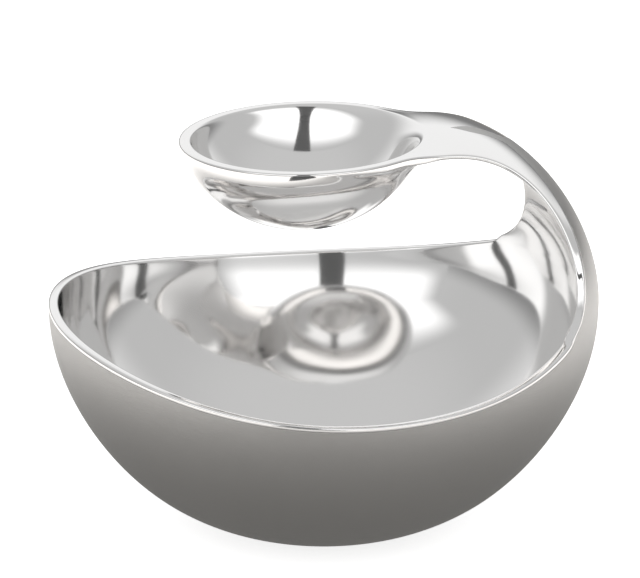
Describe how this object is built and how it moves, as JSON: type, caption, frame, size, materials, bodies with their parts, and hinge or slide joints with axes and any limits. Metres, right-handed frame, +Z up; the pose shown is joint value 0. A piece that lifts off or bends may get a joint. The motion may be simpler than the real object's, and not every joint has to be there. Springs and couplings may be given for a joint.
{
  "type": "chip and dip server",
  "caption": "Cast aluminium chip bowl whose wall curls over the top as an arm and holds a small dip bowl; satin outside, polished lip and inside.",
  "frame": {"origin": "middle of the flat round base, on the table", "axes": "+Z up, +X to the side where the arm leaves the chip bowl, +Y to the far side; symmetric about the XZ plane"},
  "size_m": [0.3056, 0.3018, 0.2225],
  "materials": {
    "satin_alloy": "satin outside, mirror-polished lip and inside",
    "polished_alloy": "mirror polished",
    "weld_alloy": "ground flush and finished like the metal around it"
  },
  "bodies": {
    "root": {"chip_bowl": "satin_alloy", "arm_root_weld": "weld_alloy", "arm": "satin_alloy", "dip_neck_weld": "weld_alloy", "dip_bowl": "polished_alloy"}
  },
  "joints": []
}
